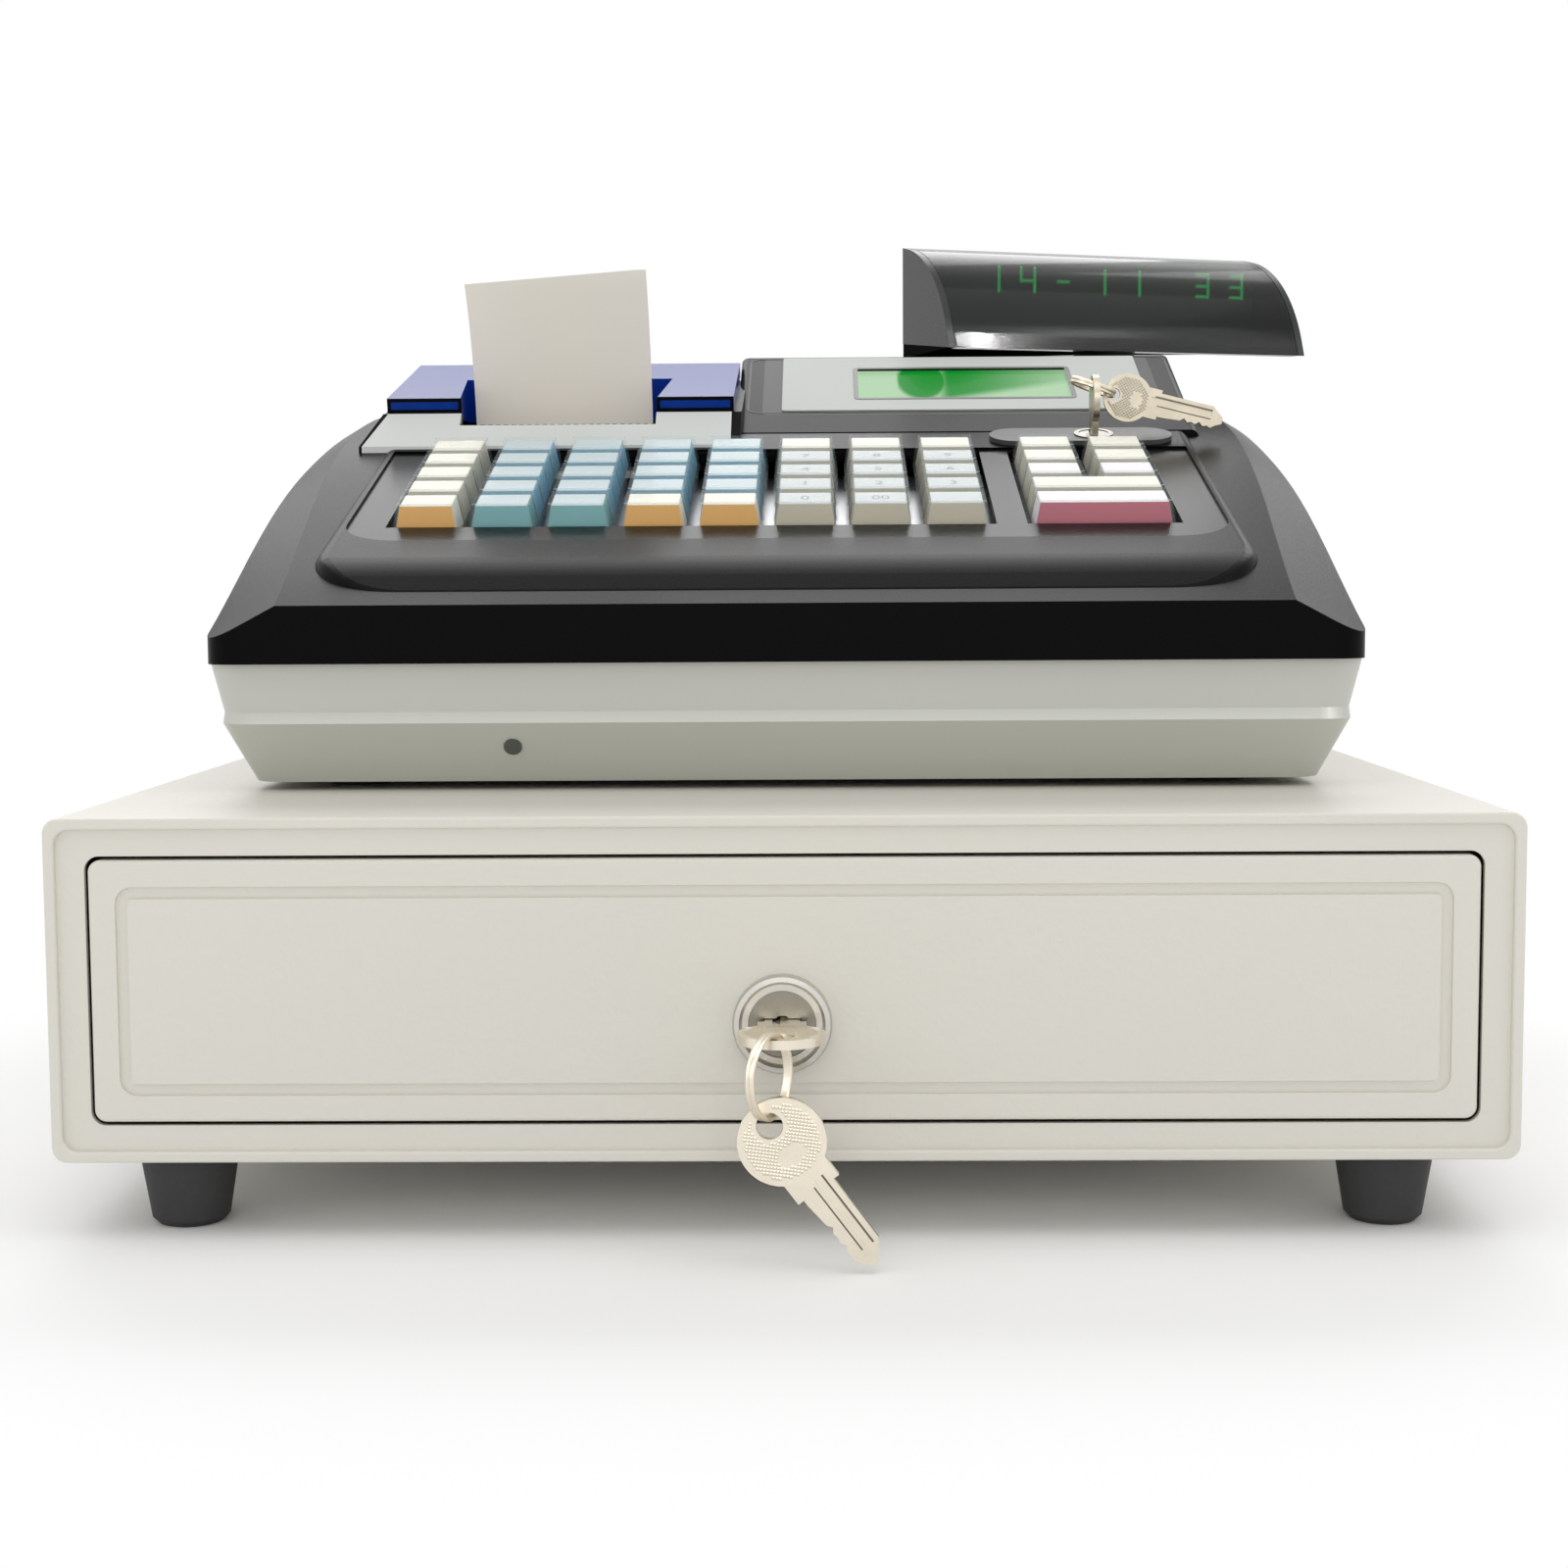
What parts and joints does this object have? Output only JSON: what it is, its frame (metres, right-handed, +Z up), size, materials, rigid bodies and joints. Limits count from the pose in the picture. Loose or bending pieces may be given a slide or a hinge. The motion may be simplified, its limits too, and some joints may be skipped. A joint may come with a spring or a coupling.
{
  "type": "ticket register",
  "caption": "Electronic ticket register with keyboard, receipt printer, two displays and mode lock, standing on a sheet metal cash drawer.",
  "frame": {"origin": "on the surface the drawer's feet stand on, under the middle of the whole", "axes": "+X right, +Y to the back, +Z up; the drawer opens towards -Y"},
  "size_m": [0.3529, 0.4154, 0.2692],
  "materials": {
    "drawer_paint": "textured satin",
    "front_paint": "textured satin",
    "black_rubber": "matt",
    "zinc_steel": "satin",
    "nickel": "bright",
    "lock_steel": "bright",
    "black_tray": "matt",
    "clip_plastic": "satin",
    "base_silver": "satin",
    "cover_black": "fine grain",
    "gloss_black": "gloss",
    "silver_plate": "satin",
    "display_green": "gloss",
    "lens_red": "gloss",
    "board_green": "satin",
    "coil_iron": "satin",
    "paper_white": "matt",
    "lid_blue": "gloss",
    "tear_clear": "gloss",
    "key_cream": "gloss",
    "key_blue": "gloss",
    "key_white": "gloss",
    "key_rose": "gloss",
    "plate_grey": "satin",
    "smoked_window": "gloss",
    "head_grey": "satin"
  },
  "bodies": {
    "frame": {"drawer_housing": "drawer_paint", "housing_feet": "black_rubber", "outer_slides": "zinc_steel", "latch_unit": "coil_iron", "base_case": "base_silver", "base_feet": "black_rubber", "top_cover": "cover_black", "keyboard_frame": "gloss_black", "keyboard_plate": "zinc_steel", "keyboard_board": "board_green", "main_board": "board_green", "power_supply": "coil_iron", "rear_sockets": "cover_black", "indicator_lens": "lens_red", "printer_plate": "silver_plate", "tear_bar": "tear_clear", "printer_frame": "black_tray", "receipt_paper": "paper_white", "display_bezel": "gloss_black", "display_panel": "silver_plate", "lcd_module": "display_green", "mode_plate": "plate_grey", "mode_lock": "lock_steel"},
    "drawer": {"drawer_front": "front_paint", "drawer_box": "zinc_steel", "inner_slides": "zinc_steel", "coin_tray": "black_tray", "bill_tray": "black_tray", "lock_body": "lock_steel"},
    "lock_turn": {"lock_plug": "lock_steel", "drawer_key": "nickel"},
    "ring": {"key_ring": "nickel"},
    "hanging": {"hanging_key": "nickel"},
    "platen": {"platen_roller": "black_rubber"},
    "roll": {"paper_roll": "paper_white"},
    "lid": {"printer_lid": "lid_blue"},
    "mode_turn": {"mode_plug": "lock_steel", "mode_key": "nickel"},
    "mode_loop": {"mode_ring": "nickel"},
    "spare": {"spare_key": "nickel"},
    "head": {"display_pole": "head_grey", "display_head": "head_grey", "display_window": "smoked_window", "digit_board": "board_green"},
    "clip_1": {"bill_clip_1": "clip_plastic"},
    "clip_2": {"bill_clip_2": "clip_plastic"},
    "clip_3": {"bill_clip_3": "clip_plastic"},
    "clip_4": {"bill_clip_4": "clip_plastic"},
    "press_key_column_1": {"key_column_1": "key_cream"},
    "press_key_column_2": {"key_column_2": "key_blue"},
    "press_key_column_3": {"key_column_3": "key_blue"},
    "press_key_column_4": {"key_column_4": "key_blue"},
    "press_key_column_5": {"key_column_5": "key_blue"},
    "press_key_column_6": {"key_column_6": "key_white"},
    "press_key_column_7": {"key_column_7": "key_white"},
    "press_key_column_8": {"key_column_8": "key_white"},
    "press_key_column_9": {"key_column_9": "key_cream"},
    "press_key_column_10": {"key_column_10": "key_cream"},
    "press_wide_key_1": {"wide_key_1": "key_rose"},
    "press_wide_key_2": {"wide_key_2": "key_cream"}
  },
  "joints": [
    {"name": "drawer_slide", "type": "slide", "parent": "frame", "child": "drawer", "axis": [0, -1, 0], "range_m": [0, 0.27]},
    {"name": "clip_1_hinge", "type": "hinge", "parent": "drawer", "child": "clip_1", "pos_m": [-0.11453, 0.1631, 0.0718], "axis": [-1, 0, 0], "range_deg": [-8, 22], "stiffness_Nm_per_rad": 0.05, "springref_deg": 2.29},
    {"name": "clip_2_hinge", "type": "hinge", "parent": "drawer", "child": "clip_2", "pos_m": [-0.04238, 0.1631, 0.0718], "axis": [-1, 0, 0], "range_deg": [-8, 22], "stiffness_Nm_per_rad": 0.05, "springref_deg": 2.29},
    {"name": "clip_3_hinge", "type": "hinge", "parent": "drawer", "child": "clip_3", "pos_m": [0.02977, 0.1631, 0.0718], "axis": [-1, 0, 0], "range_deg": [-8, 22], "stiffness_Nm_per_rad": 0.05, "springref_deg": 2.29},
    {"name": "clip_4_hinge", "type": "hinge", "parent": "drawer", "child": "clip_4", "pos_m": [0.10193, 0.1631, 0.0718], "axis": [-1, 0, 0], "range_deg": [-8, 22], "stiffness_Nm_per_rad": 0.05, "springref_deg": 2.29},
    {"name": "lock_turn_hinge", "type": "hinge", "parent": "drawer", "child": "lock_turn", "pos_m": [-0.0063, -0.1714, 0.0508], "axis": [0, -1, 0], "range_deg": [0, 90]},
    {"name": "ring_swing", "type": "hinge", "parent": "lock_turn", "child": "ring", "pos_m": [-0.0063, -0.1931, 0.0508], "axis": [-0.4384, -0.8988, 0], "range_deg": [0, 12]},
    {"name": "hanging_key_swing", "type": "hinge", "parent": "ring", "child": "hanging", "pos_m": [-0.00881, -0.19825, 0.03305], "axis": [0, -1, 0], "range_deg": [0, 60]},
    {"name": "platen_spin", "type": "hinge", "parent": "frame", "child": "platen", "pos_m": [-0.0793, 0.07515, 0.19505], "axis": [1, 0, 0], "continuous": true},
    {"name": "roll_spin", "type": "hinge", "parent": "frame", "child": "roll", "pos_m": [-0.0793, 0.084, 0.1641], "axis": [1, 0, 0], "continuous": true},
    {"name": "lid_hinge", "type": "hinge", "parent": "frame", "child": "lid", "pos_m": [-0.0793, 0.10039, 0.21482], "axis": [-1, 0, 0], "range_deg": [0, 60]},
    {"name": "mode_turn_hinge", "type": "hinge", "parent": "frame", "child": "mode_turn", "pos_m": [0.0872, 0.03154, 0.19482], "axis": [0, 0.2924, -0.9563], "range_deg": [0, 35]},
    {"name": "mode_ring_lift", "type": "hinge", "parent": "mode_turn", "child": "mode_loop", "pos_m": [0.0872, 0.02669, 0.2107], "axis": [1, 0, 0], "range_deg": [0, 8]},
    {"name": "spare_key_lift", "type": "hinge", "parent": "mode_loop", "child": "spare", "pos_m": [0.09359, 0.03349, 0.20837], "axis": [0, -1, 0], "range_deg": [0, 20]},
    {"name": "head_swivel", "type": "hinge", "parent": "frame", "child": "head", "pos_m": [0.10474, 0.15634, 0.2148], "axis": [0, 0, 1], "range_deg": [-90, 180]},
    {"name": "key_column_1_press", "type": "slide", "parent": "frame", "child": "press_key_column_1", "axis": [0, 0.2924, -0.9563], "range_m": [0, 0.0026], "stiffness_N_per_m": 300, "springref_m": -0.002},
    {"name": "key_column_2_press", "type": "slide", "parent": "frame", "child": "press_key_column_2", "axis": [0, 0.2924, -0.9563], "range_m": [0, 0.0026], "stiffness_N_per_m": 300, "springref_m": -0.002},
    {"name": "key_column_3_press", "type": "slide", "parent": "frame", "child": "press_key_column_3", "axis": [0, 0.2924, -0.9563], "range_m": [0, 0.0026], "stiffness_N_per_m": 300, "springref_m": -0.002},
    {"name": "key_column_4_press", "type": "slide", "parent": "frame", "child": "press_key_column_4", "axis": [0, 0.2924, -0.9563], "range_m": [0, 0.0026], "stiffness_N_per_m": 300, "springref_m": -0.002},
    {"name": "key_column_5_press", "type": "slide", "parent": "frame", "child": "press_key_column_5", "axis": [0, 0.2924, -0.9563], "range_m": [0, 0.0026], "stiffness_N_per_m": 300, "springref_m": -0.002},
    {"name": "key_column_6_press", "type": "slide", "parent": "frame", "child": "press_key_column_6", "axis": [0, 0.2924, -0.9563], "range_m": [0, 0.0026], "stiffness_N_per_m": 300, "springref_m": -0.002},
    {"name": "key_column_7_press", "type": "slide", "parent": "frame", "child": "press_key_column_7", "axis": [0, 0.2924, -0.9563], "range_m": [0, 0.0026], "stiffness_N_per_m": 300, "springref_m": -0.002},
    {"name": "key_column_8_press", "type": "slide", "parent": "frame", "child": "press_key_column_8", "axis": [0, 0.2924, -0.9563], "range_m": [0, 0.0026], "stiffness_N_per_m": 300, "springref_m": -0.002},
    {"name": "key_column_9_press", "type": "slide", "parent": "frame", "child": "press_key_column_9", "axis": [0, 0.2924, -0.9563], "range_m": [0, 0.0026], "stiffness_N_per_m": 300, "springref_m": -0.002},
    {"name": "key_column_10_press", "type": "slide", "parent": "frame", "child": "press_key_column_10", "axis": [0, 0.2924, -0.9563], "range_m": [0, 0.0026], "stiffness_N_per_m": 300, "springref_m": -0.002},
    {"name": "wide_key_1_press", "type": "slide", "parent": "frame", "child": "press_wide_key_1", "axis": [0, 0.2924, -0.9563], "range_m": [0, 0.0026], "stiffness_N_per_m": 300, "springref_m": -0.002},
    {"name": "wide_key_2_press", "type": "slide", "parent": "frame", "child": "press_wide_key_2", "axis": [0, 0.2924, -0.9563], "range_m": [0, 0.0026], "stiffness_N_per_m": 300, "springref_m": -0.002}
  ]
}
